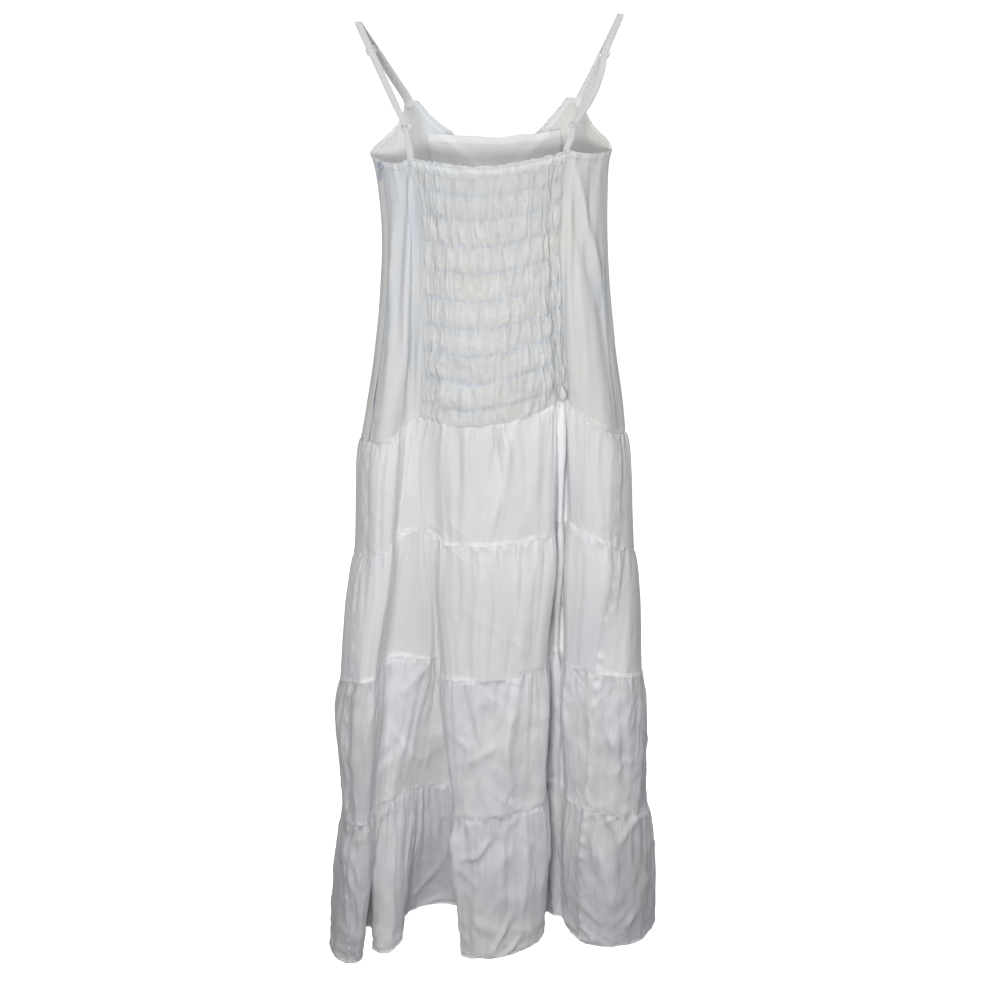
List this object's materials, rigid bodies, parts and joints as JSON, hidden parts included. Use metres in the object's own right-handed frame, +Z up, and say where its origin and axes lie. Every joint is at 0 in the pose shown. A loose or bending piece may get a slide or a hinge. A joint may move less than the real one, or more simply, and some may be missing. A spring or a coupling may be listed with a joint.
{
  "type": "maxi dress",
  "caption": "Long white cotton dress with thin adjustable straps, a shirred back panel, a V neck with an inset and a skirt of gathered tiers, hung by its straps.",
  "frame": {"origin": "midway between the tops of the two straps, where the dress hangs", "axes": "+Z up along the dress, +X to the wearer's right, +Y out of the wearer's front"},
  "size_m": [0.4921, 0.255, 1.3568],
  "materials": {
    "cotton": "thin plain-weave cotton, matt",
    "strap_cotton": "folded cotton ribbon, matt",
    "clear_plastic": "clear moulded plastic, glossy",
    "zip_plastic": "pale grey moulded plastic, satin"
  },
  "bodies": {
    "dress": {"back_shirred_panel": "cotton", "back_top_band": "cotton", "side_back_left": "cotton", "side_back_right": "cotton", "front_panel": "cotton", "front_inset": "cotton", "frill_left": "cotton", "frill_right": "cotton", "tier_1_back": "cotton", "tier_1_front": "cotton", "tier_2_back": "cotton", "tier_2_front": "cotton", "tier_3_back": "cotton", "tier_3_front": "cotton", "tier_4_back": "cotton", "tier_4_front": "cotton", "strap_left": "strap_cotton", "strap_right": "strap_cotton", "strap_stub_left": "strap_cotton", "strap_stub_right": "strap_cotton", "ring_left": "clear_plastic", "ring_right": "clear_plastic", "strap_slider_left": "clear_plastic", "strap_slider_right": "clear_plastic", "zip_chain": "zip_plastic", "zip_slider": "zip_plastic"},
    "zip_pull": {"zip_pull": "zip_plastic"}
  },
  "joints": [
    {"name": "zip_pull_hinge", "type": "hinge", "parent": "dress", "child": "zip_pull", "pos_m": [-0.14697, -0.01935, -0.19241], "axis": [-0.7755, 0.6313, 0], "range_deg": [0, 110]}
  ]
}
